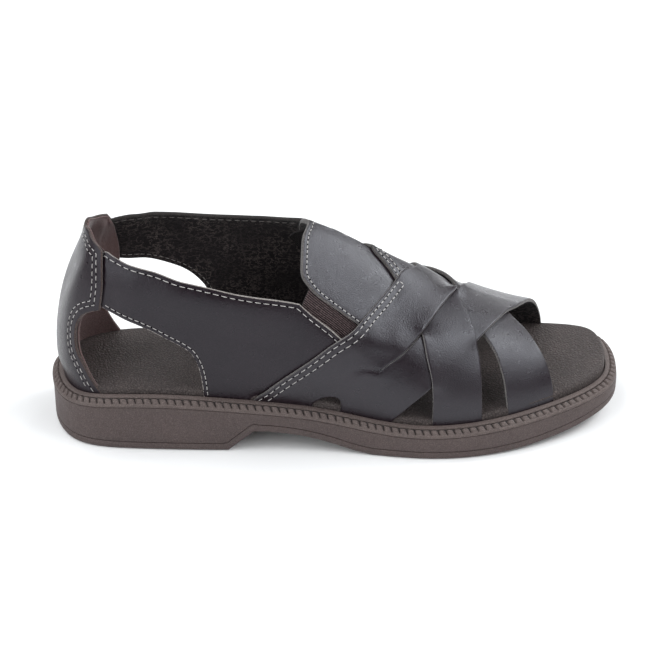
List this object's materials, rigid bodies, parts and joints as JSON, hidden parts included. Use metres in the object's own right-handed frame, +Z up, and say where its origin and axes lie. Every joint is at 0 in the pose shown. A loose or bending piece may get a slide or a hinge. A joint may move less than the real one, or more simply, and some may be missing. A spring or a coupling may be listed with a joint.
{
  "type": "woven strap sandal",
  "caption": "Men's leather sandal for the right foot: closed heel, elastic side gores, straps woven over the forefoot, open toe, low heeled sole with a ribbed welt.",
  "frame": {"origin": "on the floor under the middle of the sole", "axes": "+X towards the toe, +Y towards the inner side of the foot, +Z up"},
  "size_m": [0.293, 0.1056, 0.1099],
  "materials": {
    "sole": "matt, fine grain",
    "leather": "smooth, soft sheen",
    "footbed": "matt, pebbled",
    "elastic": "ribbed weave"
  },
  "bodies": {
    "root": {"outsole": "sole", "welt": "sole", "insole": "footbed", "upper": "leather", "heel_counter": "leather", "instep_panel": "leather", "gore_lateral": "elastic", "gore_medial": "elastic"}
  },
  "joints": []
}
